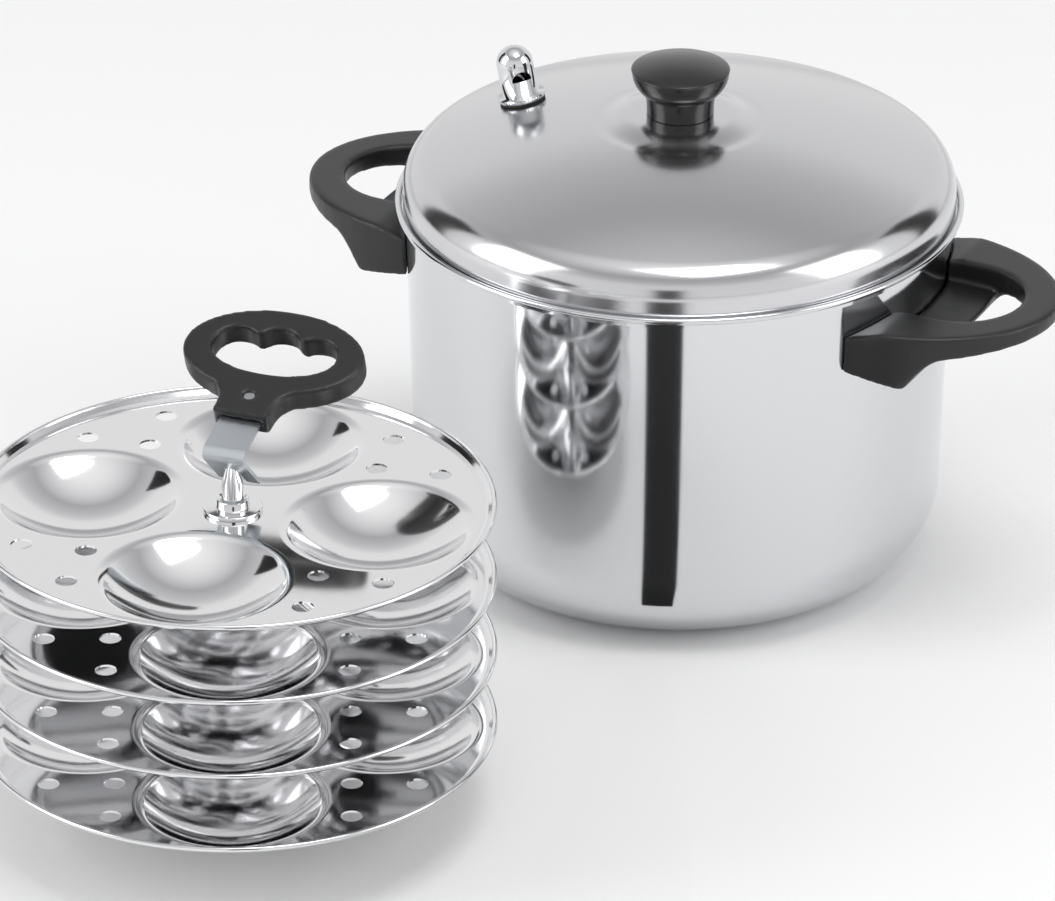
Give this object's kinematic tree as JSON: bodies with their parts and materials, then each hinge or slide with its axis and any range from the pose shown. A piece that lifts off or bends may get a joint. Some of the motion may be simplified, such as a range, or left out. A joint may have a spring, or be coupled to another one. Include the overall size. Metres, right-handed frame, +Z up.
{
  "type": "idli steamer",
  "caption": "Steel idli steamer: two-handled pot with domed whistle lid, and a tiered rack of cupped steaming plates on a centre rod with a hooked lifter.",
  "frame": {"origin": "centre of the pot's underside, on the floor", "axes": "+Z up; the pot's side handles lie along X; the rack stands on the -Y side"},
  "size_m": [0.315, 0.4689, 0.205],
  "materials": {
    "pot_steel": "polished",
    "lid_steel": "satin polished",
    "plate_steel": "polished",
    "rack_steel": "polished",
    "hook_steel": "brushed",
    "whistle_steel": "polished",
    "bracket_steel": "satin",
    "fastener_steel": "satin",
    "handle_plastic": "satin moulded",
    "knob_plastic": "semi-gloss moulded",
    "seal_rubber": "matte"
  },
  "bodies": {
    "pot": {"pot_shell": "pot_steel", "left_handle": "handle_plastic", "right_handle": "handle_plastic", "left_bracket": "bracket_steel", "right_bracket": "bracket_steel", "left_handle_screw": "fastener_steel", "right_handle_screw": "fastener_steel", "left_screw_washer": "fastener_steel", "right_screw_washer": "fastener_steel"},
    "lid": {"lid_shell": "lid_steel", "lid_knob": "knob_plastic", "knob_screw": "fastener_steel", "knob_washer": "fastener_steel", "whistle_tube": "whistle_steel", "whistle_disc": "whistle_steel", "whistle_seal": "seal_rubber", "whistle_nut": "fastener_steel"},
    "rack": {"rack_foot": "rack_steel", "centre_rod": "rack_steel", "base_nut": "fastener_steel", "base_washer": "fastener_steel", "foot_spacer": "rack_steel", "plate_spacer_1": "rack_steel", "plate_spacer_2": "rack_steel", "plate_spacer_3": "rack_steel", "top_collar": "rack_steel"},
    "plate_1": {"idli_plate_1": "plate_steel"},
    "plate_2": {"idli_plate_2": "plate_steel"},
    "plate_3": {"idli_plate_3": "plate_steel"},
    "plate_4": {"idli_plate_4": "plate_steel"},
    "lifter": {"lifter_hook": "hook_steel", "lifter_handle": "handle_plastic", "lifter_rivet": "fastener_steel"}
  },
  "joints": [
    {"name": "lid_lift", "type": "slide", "parent": "pot", "child": "lid", "axis": [0, 0, 1], "range_m": [0, 0.06]},
    {"name": "rack_lift", "type": "slide", "parent": "pot", "child": "rack", "axis": [0, 0, 1], "range_m": [0, 0.2]},
    {"name": "plate_1_turn", "type": "hinge", "parent": "rack", "child": "plate_1", "pos_m": [-0.052, -0.263, 0.121], "axis": [0, 0, 1], "continuous": true},
    {"name": "plate_2_turn", "type": "hinge", "parent": "rack", "child": "plate_2", "pos_m": [-0.052, -0.263, 0.091], "axis": [0, 0, 1], "continuous": true},
    {"name": "plate_3_turn", "type": "hinge", "parent": "rack", "child": "plate_3", "pos_m": [-0.052, -0.263, 0.061], "axis": [0, 0, 1], "continuous": true},
    {"name": "plate_4_turn", "type": "hinge", "parent": "rack", "child": "plate_4", "pos_m": [-0.052, -0.263, 0.031], "axis": [0, 0, 1], "continuous": true},
    {"name": "lifter_turn", "type": "hinge", "parent": "rack", "child": "lifter", "pos_m": [-0.052, -0.263, 0.1371], "axis": [0, 0, 1], "continuous": true}
  ]
}
